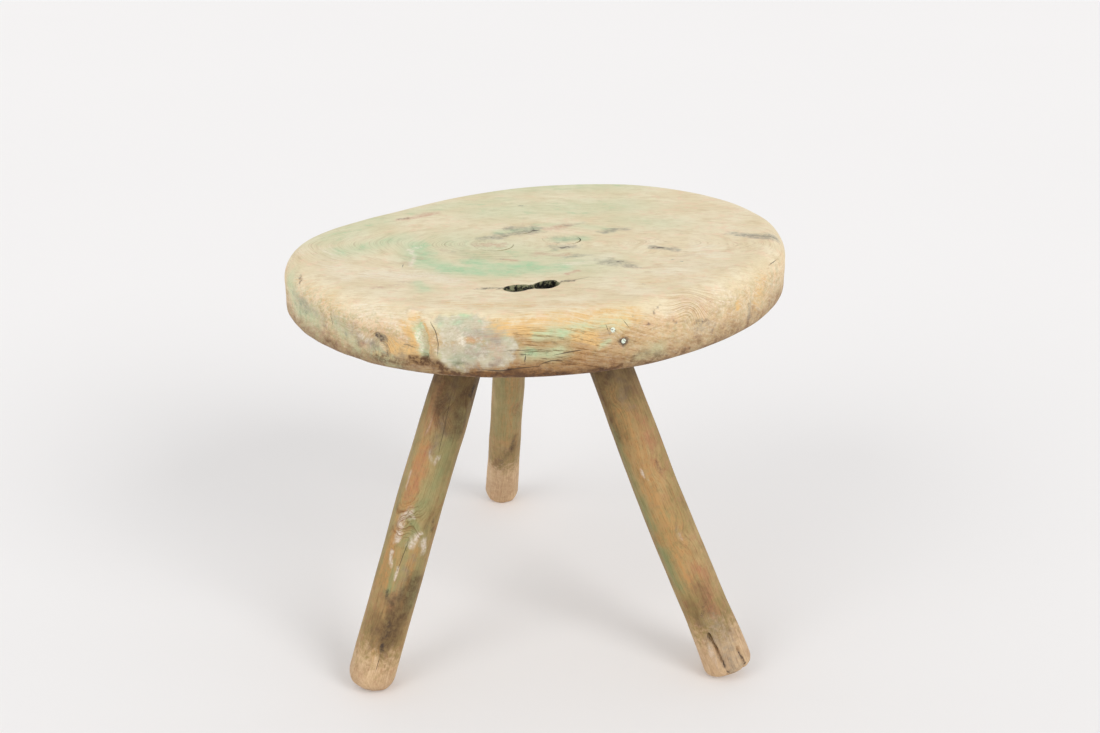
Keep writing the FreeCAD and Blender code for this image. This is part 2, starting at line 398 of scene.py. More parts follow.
def seat_rings():
    """Rings of points from the middle of the seat's top out over the rim and in again underneath."""

    def weight(turn):
        return 1 + 1.4 * np.exp(-(((turn - DETAIL_TURN) / 0.6) ** 2))

    angles = spread(0, tau, RAYS + 1, weight)[:-1]
    reach = RIM.reach(angles)
    way = np.stack([np.cos(angles), np.sin(angles)], axis=1)

    def ring(inset, level, share=1.0):
        flat = RIM.centre + way * (share * (reach - inset))[:, None]
        return np.column_stack([flat, np.full(len(flat), level)])

    rings = [ring(TOP_ROUNDING, TOP, share) for share in np.linspace(0.004, 1, 119)[:-1]]
    for turn in np.linspace(0, pi / 2, 16):
        rings.append(ring(TOP_ROUNDING * (1 - np.sin(turn)), TOP - TOP_ROUNDING * (1 - np.cos(turn))))
    for level in np.linspace(TOP - TOP_ROUNDING, UNDER + BOTTOM_ROUNDING, 17)[1:-1]:
        rings.append(ring(0, level))
    for turn in np.linspace(0, pi / 2, 7):
        inset = BOTTOM_ROUNDING * (1 - np.cos(turn))
        rings.append(ring(inset, UNDER + BOTTOM_ROUNDING * (1 - np.sin(turn))))
    rings += [ring(BOTTOM_ROUNDING, UNDER, share) for share in np.linspace(1, 0.03, 14)[1:]]
    return rings


def rim_place(x, z):
    """The place on the front of the rim with this x and z."""
    inset = 0
    if z > TOP - TOP_ROUNDING:
        inset = TOP_ROUNDING - np.sqrt(TOP_ROUNDING**2 - (min(z, TOP) - TOP + TOP_ROUNDING) ** 2)
    angles = np.linspace(-pi, 0, 721)
    reach = RIM.reach(angles) - inset
    across, along = RIM.centre[0] + reach * np.cos(angles), RIM.centre[1] + reach * np.sin(angles)
    return (x, np.interp(x, across, along), z)


def on_top(*marks):
    """Marks on the seat's top, given by x and y."""
    return [([(x, y, TOP) for x, y in corners], *rest) for corners, *rest in marks]


def on_rim(*marks):
    """Marks on the front of the seat's rim, given by x and z."""
    return [([rim_place(x, z) for x, z in corners], *rest) for corners, *rest in marks]


def seat_outward(place):
    """The way that the seat's surface faces at a place on it."""
    if place[2] > TOP - 3:
        return np.array([0, 0, 1])
    return np.append(unit(place[:2] - CENTRE), 0)


# The scar at the front left of the rim, with the ridge and the groove beside it, and the knot and the
# crease further left.
BARE = on_rim(
    ([(-54, 300), (-42, 303), (-26, 298), (-20, 290)], 8.5, 1), ([(-54, 284), (-24, 285)], 9.5, 1),
    ([(-62, 305), (-44, 306)], 4, 0.8),
)
RIDGE = on_rim(([(-79, 307), (-73, 306.5), (-68, 303), (-65, 297), (-64.5, 290), (-66, 281)], 2.5, 1))
SECOND_RIDGE = on_rim(([(-84, 304), (-79, 300), (-76, 293), (-76, 286)], 2.4, 1))
GROOVE = on_rim(([(-75, 301), (-72, 296), (-70.5, 289), (-70, 282)], 3.0, 1))
KNOT = on_rim(([(-101, 289.5), (-96, 287.5)], 4, 1))
PIT = on_rim(([(-69, 273.5), (-67, 273)], 2, 1))
CREASE = on_rim(([(-128, 309.5), (-132, 305), (-134, 298), (-133, 289)], 2.2, 1))


def seat_relief(points):
    """How far the worn surface stands out from the plain shape."""
    relief = 0.5 * noise(points, 62, 1) + 0.25 * noise(points, 24, 2)
    for pole in POLES.values():
        relief *= step(np.linalg.norm(points - pole.start, axis=1), 17, 30)
    rim = step(points[:, 2], TOP - 6, TOP - 16)
    relief += 0.2 * rim * noise(points, (60, 60, 6), 3)
    relief += 0.3 * rim * step(points[:, 0], -60, -110) * noise(points, (9, 9, 6), 4)
    scar = step(marked(points, BARE[:2]), 0.25, 0.75)
    relief -= 1.1 * scar
    relief += 0.35 * scar * noise(points, 5, 5)
    relief += 3.0 * marked(points, RIDGE)
    relief += 0.9 * marked(points, SECOND_RIDGE)
    relief -= 2.8 * marked(points, GROOVE)
    relief -= 1.4 * marked(points, KNOT)
    relief -= 1.2 * marked(points, PIT)
    relief -= 0.6 * marked(points, CREASE)
    relief -= 0.5 * marked(points, on_top(([(-15, -142), (8, -134)], 8, 1)))
    return relief


def cone(name, pole, gap, side):
    """What is cut out of the seat for a tenon, wider by a gap on one side of it."""
    turns = np.linspace(0, tau, 97)[:-1]
    rings = []
    for down in np.linspace(*BORE_ENDS, 31):
        downs = np.full_like(turns, down)
        circle = np.stack([np.cos(turns), np.sin(turns), downs / 30], axis=1)
        crescent = gap * np.clip(np.cos(turns - radians(side)), 0, 1) ** 3
        radius = pole.radius(downs) + 0.05 + crescent + 0.05 * noise(circle, 0.4, 13)
        rings.append(pole.place(downs, turns, radius))
    return skin(name, rings)


def hole_cutter():
    """The rotted hole: its mouth flares a little, and its rough walls close in as they go down."""
    turns = np.linspace(0, tau, 181)[:-1]
    way = np.stack([np.cos(turns), np.sin(turns)], axis=1)
    reach = HOLE.reach(turns)
    rings = []
    for depth in np.linspace(*HOLE_ENDS, 48):
        flare = 0.9 * np.exp(-max(depth, 0) / 0.8)
        narrow = 1 - 0.35 * step(depth, 6, HOLE_ENDS[1])
        flat = HOLE.centre + way * (reach * narrow + flare)[:, None]
        ring = np.column_stack([flat, np.full(len(flat), TOP - depth)])
        rough = 1.2 * noise(ring, 4.5, 11) + 0.6 * noise(ring, 1.9, 12)
        rough = (0.3 + 0.7 * step(depth, 0, 4)) * rough
        ring[:, :2] += way * np.clip(rough, -reach * 0.5, 2)[:, None]
        rings.append(ring)
    return skin("hole", rings)


def make_seat(material):
    piece = skin("seat_board", seat_rings())
    push(piece, seat_relief(points_of(piece)))
    bores = [cone(f"bore_{name}", POLES[name], *gap) for name, gap in GAPS.items()]
    cut(piece, [hole_cutter()] + bores)
    points = points_of(piece)
    keep(piece, seat_grain(points), seat_values(points))
    finish_piece(piece, "seat", [material])


MINT = on_top(
    ([(-88, -46), (-80, -80), (-60, -102), (-30, -106), (14, -98)], 15, 0.9),
    ([(-44, -86), (-30, -98), (-8, -92)], 14, 0.95), ([(-66, -98), (-38, -110)], 8, 1.1),
    ([(-52, -66), (-34, -78)], 10, 0.6), ([(-136, -62), (-98, -30)], 17, 0.65),
    ([(-78, -132), (-74, -146)], 6, 0.7), ([(-96, 40), (-62, 60), (-28, 74)], 16, 0.45),
    ([(-4, 48), (34, 40)], 16, 0.5), ([(0, 5), (30, 6), (48, -6)], 9, 0.5),
    ([(-60, -40), (-10, -70), (24, -88)], 36, 0.5), ([(12, -32), (30, -30)], 8, 0.8),
    ([(-28, -14), (-6, -6)], 8, 0.7), ([(-52, -36), (-54, -60)], 6, 0.6), ([(60, 20), (90, 10)], 20, 0.4),
    ([(-150, -30), (-120, 20)], 24, 0.5), ([(-70, 110), (60, 128)], 34, 0.55),
    ([(-40, 40), (60, 60)], 30, 0.5),
) + on_rim(
    ([(-169, 300), (-162, 288), (-146, 286)], 9, 0.6), ([(-130, 290), (-116, 279)], 6, 0.5),
    ([(-104, 280), (-90, 276)], 5, 0.8), ([(-74.5, 300), (-72.5, 293), (-71, 284)], 3.4, 1.3),
    ([(-60, 304), (-48, 306)], 5, 0.7), ([(-48, 307.6), (-43, 307)], 2.5, 1.0),
    ([(-38, 305), (-35, 304.5)], 1.6, 1.0), ([(-60, 284), (-50, 279)], 5, 0.7),
    ([(-30, 284), (-27, 288)], 5, 0.6), ([(-20, 296), (-16, 290)], 4, 0.6),
    ([(-4, 299), (8, 299)], 3.5, 0.9), ([(12, 298), (30, 300)], 5, 0.8),
    ([(-8, 286), (6, 285), (14, 287)], 5, 0.7), ([(44, 303), (50, 303.5)], 1.8, 1.0),
    ([(28, 301), (52, 302)], 5, 0.5), ([(38, 289), (44, 290)], 2.2, 0.8),
    ([(62, 276), (76, 278)], 5, 0.4),
)
GREY = on_top(
    ([(-38, -30), (-24, -20), (-4, -10)], 9, 0.75), ([(-18, -4), (-7, -6)], 11, 0.8),
    ([(12, -32), (27, -30)], 9, 0.5), ([(19, -73), (30, -71)], 6, 0.7), ([(10, -52), (24, -50)], 7, 0.7),
    ([(20, 6), (31, 12)], 4, 0.7), ([(46, -11), (60, -2)], 6, 0.9), ([(44, -85), (60, -94)], 9, 0.75),
    ([(78, -52), (94, -57)], 5, 1.0), ([(140, -20), (158, -25), (174, -20)], 7, 1.0),
    ([(-110, -150), (-90, -130)], 12, 0.3), ([(-60, -50), (-52, -76)], 14, 0.3),
) + on_rim(
    ([(-128, 292), (-104, 284)], 9, 0.6), ([(-164, 294), (-140, 290)], 8, 0.6),
    ([(-96, 278), (-84, 280)], 5, 0.8), ([(141, 288), (140, 279)], 3, 0.8),
    ([(-36, 299), (-24, 293), (-20, 284)], 6, 0.6), ([(100, 286), (112, 284)], 5, 0.6),
)
DARK = on_top(
    ([(-37, -30), (-31, -20)], 1.4, 0.5), ([(-5, -10), (-1, -8)], 2.0, 1.0),
    ([(-30, -24), (-22, -23)], 1.4, 0.6), ([(-20, -16), (-10, -12)], 1.6, 0.5),
    ([(15, -52), (20, -50)], 2.4, 1.0), ([(24, -48), (30, -45)], 1.2, 0.6),
    ([(19, -72), (21, -74)], 1.5, 0.8), ([(46, -90), (54, -85)], 1.5, 0.8),
    ([(60, -97), (68, -99)], 1.8, 0.6), ([(-16, 55), (-12, 55)], 1.7, 0.8),
    ([(-28, -79), (-24, -79)], 1.4, 0.8), ([(80, -53), (85, -53)], 2.1, 1.1),
    ([(70, -56), (82, -53)], 1.2, 0.5), ([(86, -79), (98, -84)], 1.2, 0.7),
    ([(66, -131), (69, -135), (72, -133)], 1.0, 0.8), ([(-40, -143), (-24, -141)], 2.6, 0.8),
    ([(11, -131), (22, -126)], 2.6, 0.8), ([(150, -23), (157, -24), (172, -21)], 1.6, 0.7),
    ([(-104, 22), (-98, 24)], 3, 0.6),
) + on_rim(
    ([(-160, 305), (-158, 304)], 2.4, 0.8), ([(-101, 289.5), (-96, 287.5)], 2.5, 2.0),
    ([(-95, 284), (-94, 281)], 2, 0.8), ([(-163, 289), (-152, 288)], 3, 0.5),
    ([(6, 301), (10, 301)], 0.9, 0.9), ([(-27, 306.5), (-24, 306.3)], 1.0, 0.9),
    ([(76, 306), (73, 301)], 1.2, 0.6), ([(67, 296), (69, 296)], 1.2, 0.9),
    ([(45, 303), (48, 303)], 1.1, 0.8), ([(57, 303), (59, 302.6)], 1.0, 0.8),
    ([(86, 295), (87, 294)], 1.6, 0.8), ([(101, 289), (108, 289)], 3.2, 0.7),
    ([(139, 288), (139, 285)], 1.5, 0.8), ([(-18, 284), (4, 286)], 1.5, 0.5),
    ([(44.6, 297), (46.8, 297)], 2.8, 0.7), ([(51.4, 288.8), (53.6, 288.8)], 2.8, 1.5),
    ([(-69, 273.5), (-67, 273)], 1.8, 1.0), ([(-20, -131), (0, -125), (12, -120)], 2.4, 0.6),
)
PINK = on_top(
    ([(-2, -65), (17, -68)], 7, 0.7), ([(-24, -79), (-16, -80)], 3, 0.9),
    ([(18, -112), (25, -107)], 2.6, 1.0), ([(6, -4), (20, 7)], 7, 0.8),
    ([(-42, -45), (-28, -45)], 8, 0.75), ([(-103, 20), (-80, 37)], 6, 0.8),
    ([(-107, -142), (-102, -140)], 2.6, 0.8), ([(-98, -96), (-80, -70)], 13, 0.35),
    ([(-66, -62), (-72, -50)], 7, 0.4), ([(10, -36), (-4, -52)], 9, 0.35),
    ([(-10, -152), (40, -142)], 8, 0.25), ([(70, -100), (130, -60)], 22, 0.2),
) + on_rim(
    ([(50, 285.6), (52, 285)], 1.9, 1.0), ([(94, 305), (110, 300)], 12, 0.4),
    ([(-152, 281), (-140, 279)], 6, 0.5), ([(60, 295), (84, 299)], 6, 0.4),
    ([(-36, 296), (-26, 288)], 9, 0.6), ([(-112, 281), (-104, 282)], 5, 0.6),
)
PALE = on_top(
    ([(-88, -53), (-86, -95)], 2.4, 0.9), ([(-90, -57), (-84, -50)], 3.4, 0.9),
    ([(-112, -112), (-70, -116), (-56, -128)], 14, 0.7), ([(-150, -60), (-124, -118)], 18, 0.5),
    ([(20, -90), (44, -72)], 14, 0.4), ([(90, -110), (112, -60)], 26, 0.5),
) + on_rim(
    # The first mark lies along the ridge: pale wood with a painted highlight.
    ([(-78, 307), (-72, 306), (-67, 302), (-64.5, 294), (-65, 284)], 2.0, 0.9),
    ([(-73.5, 299), (-71, 286)], 2.6, 1.5), ([(-112, 304), (-88, 303)], 10, 0.6),
    ([(-48, 297), (-47, 292)], 3.4, 0.9), ([(82, 303), (124, 301)], 11, 0.5),
    ([(-112, 288), (-106, 284)], 3, 0.6), ([(45.2, 297), (46.2, 297)], 1.6, 1.0),
)
OCHRE = on_top(
    ([(70, -128), (112, -112)], 14, 0.45), ([(-56, -173), (0, -176), (50, -172)], 10, 0.5),
) + on_rim(
    ([(-160, 303), (-130, 303)], 10, 0.4), ([(-91, 286), (-78, 281)], 6, 1.2),
    ([(-84, 301), (-78, 296), (-77, 288)], 3.4, 1.2),
    # This mark lies along the ridge: ochre wood with a painted highlight.
    ([(-80, 306), (-74, 305.5), (-69, 302), (-66, 295), (-66, 284)], 2.4, 1.3),
    ([(-13, 302), (-6, 300)], 3.5, 0.9), ([(24, 296), (34, 292)], 6, 1.0),
    ([(-24, 303), (60, 303)], 9, 0.8), ([(-104, 279), (-88, 277)], 4, 0.7),
    ([(130, 293), (131, 289)], 2.8, 1.3), ([(150, 296), (146, 286)], 8, 0.7),
)
UMBER = on_rim(
    ([(-80, 278), (-68, 279), (-57, 273)], 4.5, 1.4), ([(-102, 277), (-80, 277)], 5, 1.0),
    ([(-60, 271), (-20, 272), (50, 271)], 4.5, 1.6), ([(-140, 275), (-100, 275), (-80, 276)], 6, 1.0),
    ([(-57, 275.5), (-20, 278), (6, 283)], 2.2, 0.6), ([(60, 279), (110, 279)], 5, 0.4),
)
CRACKS = on_top(
    ([(15, -129), (23, -125), (33, -119)], 0.35), ([(-23, -141), (-37, -142.5)], 0.3),
    ([(-92, -91), (-92, -96)], 0.4), ([(144, -20), (158, -25), (171, -21)], 0.35),
) + on_rim(
    # The first rim crack is a painted shadow line down the ridge's right side.
    ([(-66, 304), (-62.5, 298), (-61.5, 291), (-62.5, 283)], 0.2), ([(-8.2, 285), (-8.6, 280.5)], 0.5),
    ([(10, 284.6), (20, 286), (27, 286.4)], 0.35), ([(1, 279), (8, 281), (16, 280.6)], 0.35),
    ([(-20, 288), (-2, 289)], 0.2), ([(-34, 275.5), (-24, 275), (-14, 276.5), (0, 277.5)], 0.4),
    ([(41, 301), (43, 296)], 0.22), ([(52, 302), (56, 297)], 0.22), ([(157, 304), (164, 303)], 0.25),
    ([(-84, 288), (-76, 287)], 0.2), ([(-134, 297), (-133, 288)], 0.25),
)

SEAT_MARKS = dict(zip(KINDS, (MINT, BARE, PALE, OCHRE, UMBER, PINK, GREY, DARK)))

# Where a branch or a knot bulges the growth rings: its place, its reach and how high it lifts them.
BRANCHES = [
    ((19, -31, TOP), 16, 7), ((-12, -4, TOP), 16, 6), ((-5, -137, TOP), 18, -9),
    ((-99, -177, 288), 12, 18), ((-60, -195, 292), 14, -12), ((97, -156, 302), 13, 13),
    ((46, -184, 296), 6, 4), ((82, -53, TOP), 12, 9), ((132, -118, 290), 9, 9),
    ((-128, -150, 287), 12, 11), ((-40, 130, 290), 20, 16), ((-150, 60, 300), 24, -12),
    ((60, 40, UNDER), 24, 22),
]
SWIRL = on_top(([(-62, -44), (-50, -62), (-30, -70)], 13, 0.5), ([(-58, -40), (-48, -34)], 9, 0.4))
CONTOURS = on_rim(([(90, 303), (104, 301)], 12, 0.8), ([(-102, 290), (-95, 287)], 8, 0.5))
SWIRL_CENTRE = np.array([-28, -42])


def seat_grain(points):
    """Where each point lies in the wood: along its fibres, across its growth rings, and its height.

    The rings are ovals round a place near the middle of the top, and steps down the rim.
    """
    x, y = (points[:, :2] - SWIRL_CENTRE).T
    rings = np.hypot(np.where(x < 0, 0.5, 0.18) * x, y) + 1.1 * (TOP - points[:, 2])
    rings += 3.5 * noise(points, 52, 21) + 1.2 * noise(points, 17, 22)
    for place, reach, lift in BRANCHES:
        gap = np.linalg.norm(points - np.array(place), axis=1)
        rings += lift * np.exp(-((gap / reach) ** 2))
    return np.stack([points[:, 0], rings, points[:, 2]], axis=1)


def seat_values(points):
    """Every mask that the wood's material reads, for points on the seat or level with its top."""
    uneven = warped(points)
    x, y, z = uneven.T
    turn = np.arctan2(y - CENTRE[1], x - CENTRE[0])
    depth = TOP - points[:, 2]
    values = {kind: marked(uneven, SEAT_MARKS[kind]) for kind in KINDS}
    values["rim"] = step(z, TOP - 1, TOP - 15)
    values["front"] = values["rim"] * np.exp(-(((turn - FRONT - 0.02) / 0.42) ** 2))
    values["crust"] = values["rim"] * step(x, -50, -95)
    # The rim darkens towards the bottom, and the underside is darkest.
    low_edge = step(z, TOP - 4, UNDER - 6)
    values["umber_and_shade"] = np.maximum(values["umber_and_shade"], low_edge)
    values["across"], values["nearness"] = cracked(points, CRACKS, seat_outward)
    values["figure"] = np.maximum(0.05, marked(uneven, SWIRL + CONTOURS))
    # Inside the hole the rot darkens with depth; the near black deeper down is painted shade.
    inside = step(HOLE.inside(points), -1.3, -0.4) * step(depth, 33, 29)
    values["rot"] = inside * (0.4 * step(depth, 0.2, 0.9) + 0.6 * step(depth, 0.8, 7))
    return values


# ---------------------------------------------------------------- the legs

AROUND = 150
STEP_DOWN = 1.2

# Each leg: its flats, how far its middle and its foot bend towards -X, where the bare wood of its foot
# starts, its knots and its marks. A place on a leg is a distance down it and the degrees round it from
# the front towards -X. A knot is its place, its reach and how high it lifts the growth rings.
FRONT_LEFT = {
    "flats": 9,
    "bend": (0.6, -0.6),
    "foot": 307,
    "knots": [
        ((104, -50), 10, 5), ((122, 4), 9, 5), ((206, 20), 12, 6), ((214, -8), 8, -4), ((296, -6), 5, 3),
    ],
    "raised": [
        ([(196, 16), (210, 32)], 5, 1.2), ([(208, -16), (220, -4)], 4.5, 1.2),
        ([(150, 8), (158, -6)], 4, 0.8), ([(104, -52), (112, -44)], 4, 0.8),
    ],
    "sunk": [
        ([(199, -56), (204, -48)], 3.5, 1.6), ([(205, 6), (214, 10)], 3, 0.7),
        ([(106, 4), (124, 2)], 2, 0.5),
    ],
    "mint": [
        ([(140, -24), (168, -22), (194, -4)], 7, 0.7), ([(192, 8), (204, 14)], 7, 0.8),
        ([(205, -2), (218, 8)], 5, 0.9), ([(236, 30), (252, 18)], 6, 1.0),
        ([(120, -40), (180, -48)], 5, 0.5), ([(205, -30), (262, -46)], 6, 0.6),
        ([(225, 0), (250, -8)], 7, 0.5), ([(120, 62), (240, 66)], 6, 0.45),
    ],
    "pale": [
        ([(196, 14), (206, 34)], 3.6, 1.1), ([(201, 12), (200, 0)], 2.2, 1.0),
        ([(208, 26), (218, 30)], 3.2, 1.0), ([(210, -14), (219, -6)], 3.2, 1.0),
        ([(215, -38), (222, -44)], 3.4, 0.9), ([(150, 10), (158, -2), (153, -12)], 2, 0.6),
        ([(238, 14), (245, 12)], 1.4, 0.7), ([(170, 48), (182, 50)], 2, 0.6),
        ([(228, 34), (238, 30)], 1.8, 0.9), ([(128, 36), (142, 34)], 1.6, 0.5),
    ],
    "ochre": [
        ([(150, 30), (250, 40)], 9, 0.8), ([(60, 50), (140, 48)], 8, 0.5),
        ([(220, -20), (262, -10)], 8, 0.6), ([(262, 24), (300, 14)], 11, 0.4),
    ],
    "umber_and_shade": [
        ([(96, -20), (130, -34)], 13, 1.0), ([(96, 34), (120, 22)], 12, 1.0),
        ([(136, -44), (240, -50)], 8, 0.5), ([(246, -38), (286, -18)], 13, 1.05),
        ([(276, 20), (296, 14)], 11, 0.8), ([(260, -10), (294, -6)], 13, 1.05),
    ],
    "pink": [
        ([(104, 34), (136, 38)], 9, 0.6), ([(150, 24), (186, 34)], 7, 0.7),
        ([(246, 6), (266, 0)], 6, 0.5),
    ],
    "grey": [
        ([(96, 4), (150, 0)], 7, 0.55), ([(230, -14), (262, -4)], 6, 0.6),
        ([(290, 20), (316, 6)], 9, 0.3),
    ],
    "dark": [
        ([(101, -52), (106, -46)], 2.6, 1.1), ([(110, 8), (120, 4), (132, 6)], 1.2, 0.6),
        ([(205, 4), (216, 12)], 1.5, 0.7), ([(198, -52), (204, -50)], 2.4, 0.9),
        ([(254, 20), (260, 18)], 1.6, 0.8), ([(278, -2), (288, -4)], 2.4, 0.6),
        ([(294, -7), (299, -5)], 1.7, 1.4),
    ],
    "cracks": [
        ([(300, -5), (332, -3)], 0.22), ([(216, 2), (240, 10)], 0.25), ([(108, 2), (150, -8)], 0.2),
    ],
}
FRONT_RIGHT = {
    "flats": 8,
    "bend": (1.3, -1.2),
    "foot": 306,
    "knots": [((118, 16), 8, 3), ((228, -14), 8, 3), ((176, -33), 8, 3)],
    "raised": [],
    "sunk": [
        ([(304, 13), (318, 8), (345, 4)], 1.1, 4.0), ([(322, -44), (345, -46)], 1.2, 3.5),
    ],
    "mint": [
        ([(196, 52), (216, 46)], 7, 0.8), ([(236, 48), (262, 32)], 7, 1.0),
        ([(140, 54), (190, 54)], 5, 0.6), ([(205, -4), (212, -8)], 3, 0.6),
        ([(118, 20), (136, 16)], 5, 0.5),
    ],
    "pale": [
        ([(170, 15), (181, 9)], 1.0, 1.1), ([(96, 34), (132, 28)], 0.7, 0.5),
        ([(306, 22), (330, 20)], 3, 0.4), ([(226, -10), (232, -14)], 2, 0.5),
    ],
    "ochre": [([(120, 10), (260, 0)], 12, 0.7)],
    "umber_and_shade": [
        ([(90, 50), (146, 40)], 9, 0.8), ([(104, 30), (130, 24)], 7, 0.4),
        ([(268, -20), (288, -10)], 10, 0.7), ([(278, 26), (296, 22)], 7, 0.7),
        ([(60, 60), (260, 66)], 6, 0.5), ([(296, -10), (344, -14)], 18, 0.42),
    ],
    "pink": [
        ([(136, -28), (158, -38)], 8, 0.6), ([(172, -28), (182, -36)], 5, 0.8),
        ([(258, -34), (290, -20)], 9, 0.7), ([(252, 4), (262, 2)], 6, 0.4),
    ],
    "grey": [
        ([(66, -10), (124, -14)], 9, 0.6), ([(222, -14), (232, -18)], 4, 0.6),
        ([(298, -14), (336, -22)], 12, 0.75),
    ],
    "dark": [
        ([(172, -31), (180, -35)], 3, 0.6), ([(282, -10), (292, 16)], 3, 0.5),
        ([(118, 14), (122, 12)], 2.4, 0.5), ([(304, 13), (318, 8), (345, 4)], 1.2, 1.2),
        ([(322, -44), (345, -46)], 1.2, 1.2),
    ],
    "cracks": [([(44, 24), (90, 20)], 0.25), ([(44, 2), (66, 1)], 0.2)],
}
REAR = {
    "flats": 8,
    "bend": (0, 0),
    "foot": 304,
    "knots": [((214, -32), 8, 3)],
    "raised": [],
    "sunk": [],
    "mint": [([(150, 20), (250, 14)], 9, 0.6), ([(200, -30), (240, -34)], 6, 0.6)],
    "ochre": [([(140, -20), (260, -10)], 12, 0.5)],
    "umber_and_shade": [
        ([(272, -30), (300, 30)], 9, 0.6), ([(210, -34), (222, -36)], 5, 0.7),
        ([(256, -36), (276, -30)], 5, 0.8),
    ],
    "pink": [([(205, -28), (216, -32)], 6, 0.6)],
    "grey": [([(270, 10), (300, -6)], 8, 0.4)],
    "dark": [([(262, -30), (270, -26)], 3, 0.6), ([(286, 4), (294, 2)], 3, 0.4)],
    "cracks": [],
}
LEGS = {"front_left": FRONT_LEFT, "front_right": FRONT_RIGHT, "rear": REAR}


def on_pole(pole, marks):
    """A leg's marks as marks in space."""
    placed = []
    for corners, *rest in marks:
        down, turn = np.array(corners, float).T
        placed.append((pole.place(down, np.radians(turn), pole.radius(down)), *rest))
    return placed


def pole_outline(pole):
    """Distances down the axis and radii, at even steps from the tenon's end to the middle of the foot."""
    solid = pole.downs > 50
    downs = np.concatenate([[0], pole.downs[solid], [pole.length]])
    radii = np.concatenate([pole.radius([0]), pole.radii[solid], [0.5]])
    lengths = np.concatenate([[0], np.cumsum(np.hypot(np.diff(downs), np.diff(radii)))])
    even = np.linspace(0, lengths[-1], int(lengths[-1] / STEP_DOWN))
    return zip(np.interp(even, lengths, downs), np.interp(even, lengths, radii))


def facets(turns, down, count, seed):
    """The flats that a drawknife leaves round a pole, as shares of its radius. They wander down it."""
    drift = 0.3 * noise(np.stack([down / 60, turns * 0, turns * 0], axis=1), 1, seed)
    part = np.mod(turns + drift + seed, tau / count) - pi / count
    return np.cos(pi / count) / np.cos(part) - 1


def leg_relief(pole, plan, down, turns, places):
    """How far the leg's surface stands out from the plain pole."""
    seed = len(pole.name)  # another one for each leg
    lumps = 6 * facets(turns, down, plan["flats"], seed)
    lumps += 0.3 * noise(places, 34, seed) + 0.12 * noise(places, (7, 7, 20), seed + 1)
    dents = marked(places, on_pole(pole, plan["raised"])) - marked(places, on_pole(pole, plan["sunk"]))
    knots = np.abs(dents) * noise(places, (2.6, 2.6, 7), seed + 2)
    return lumps * step(down, 30, 60) + dents + knots


def pole_rings(pole, plan):
    """Rings over the flush tenon end, down the shaft and over the foot."""

    def weight(turn):
        return 1 + 0.6 * np.exp(-((turn / 1.2) ** 2))

    turns = spread(-pi, pi, AROUND + 1, weight)[:-1]
    slant = np.cos(turns) * pole.front[2] + np.sin(turns) * pole.side[2]
    first = -pole.radius(np.zeros_like(turns)) * slant / pole.axis[2]
    edge = pole.place(first, turns, pole.radius(first))
    edge[:, 2] = TOP
    hub = edge.mean(axis=0)
    rings = [hub + (edge - hub) * share for share in np.linspace(0.03, 0.98, 14)]
    for down, radius in pole_outline(pole):
        downs = down + first * (1 - down / pole.length) ** 4
        base = radius + pole.radius(downs) - pole.radius(down)
        relief = leg_relief(pole, plan, downs, turns, pole.place(downs, turns, base))
        rings.append(pole.place(downs, turns, base + relief * min(1, radius / 8)))
    return rings


def knot_marks(plan):
    """Marks round a leg's knots, where its growth rings show more."""
    marks = []
    for (down, turn), reach, lift in plan["knots"]:
        marks.append(([(down - 6, turn), (down + 6, turn)], reach, (lift / 6) ** 2))
    return marks


def leg_values(pole, plan, points):
    """Every mask that the wood's material reads, for points on a leg."""
    uneven = warped(points)
    down = pole.measure(uneven)[0]
    values = {kind: marked(uneven, on_pole(pole, plan.get(kind, []))) for kind in KINDS}
    values["bare"] = 0.8 * step(down, plan["foot"] - 40, plan["foot"] + 30)
    # Painted shade with some grime: the tops of the legs darken towards the seat above them.
    values["umber_and_shade"] = np.maximum(values["umber_and_shade"], step(down, 155, 88))
    values["across"], values["nearness"] = cracked(points, on_pole(pole, plan["cracks"]), pole.outward)
    values["figure"] = np.maximum(0.2, marked(uneven, on_pole(pole, knot_marks(plan))))
    values["crust"] = np.full(len(points), 0.4)
    for kind in ("rot", "rim", "front"):
        values[kind] = np.zeros(len(points))
    return values


def leg_grain(pole, plan, points):
    """Down the leg's fibres, across its growth rings, whose middle is off the axis, and round them."""
    down, turn, out = pole.measure(points)
    wander = 3 * noise(np.stack([down / 90, turn * 0, turn * 0], axis=1), 1, 31)
    u, v = out * np.cos(turn) - 9 - wander, out * np.sin(turn) - 5
    rings = np.hypot(u, v) + 0.5 * noise(points, 20, 32)
    for place, reach, lift in plan["knots"]:
        corner = on_pole(pole, [([place],)])[0][0]
        rings += lift * np.exp(-((np.linalg.norm(points - corner, axis=1) / reach) ** 2))
    return np.stack([down, rings, 12 * np.arctan2(v, u)], axis=1)


def make_leg(name, leg_material, end_material):
    """A leg. Its tenon's end has the wood of the seat's top, as it was worn and stained with the seat."""
    pole, plan = POLES[name], LEGS[name]
    piece = skin(f"pole_{name}", pole_rings(pole, plan))
    cut(piece, [wedge_block(name, "kerf", 0.1, 1.2)])
    points = points_of(piece)
    at_end = points[:, 2] > TOP - 0.5
    shaft, end = leg_values(pole, plan, points), seat_values(points)
    values = {kind: np.where(at_end, end[kind], shaft[kind]) for kind in end}
    keep(piece, leg_grain(pole, plan, points), values)
    share = pole.measure(points)[0] / pole.length
    middle_bend, foot_bend = plan["bend"]
    bend = middle_bend * step(share, 0.3, 0.6) * step(share, 0.95, 0.65)
    bend += foot_bend * step(share, 0.45, 1)
    points += bend[:, None] * pole.side
    points[:, 2] = np.clip(points[:, 2], 0, TOP)
    set_points(piece, points)
    finish_piece(piece, f"leg_{name}", [leg_material, end_material])
    for face in piece.data.polygons:
        face.material_index = int(face.center[2] > (TOP - 0.05) * MM)


# ---------------------------------------------------------------- wedges and nails


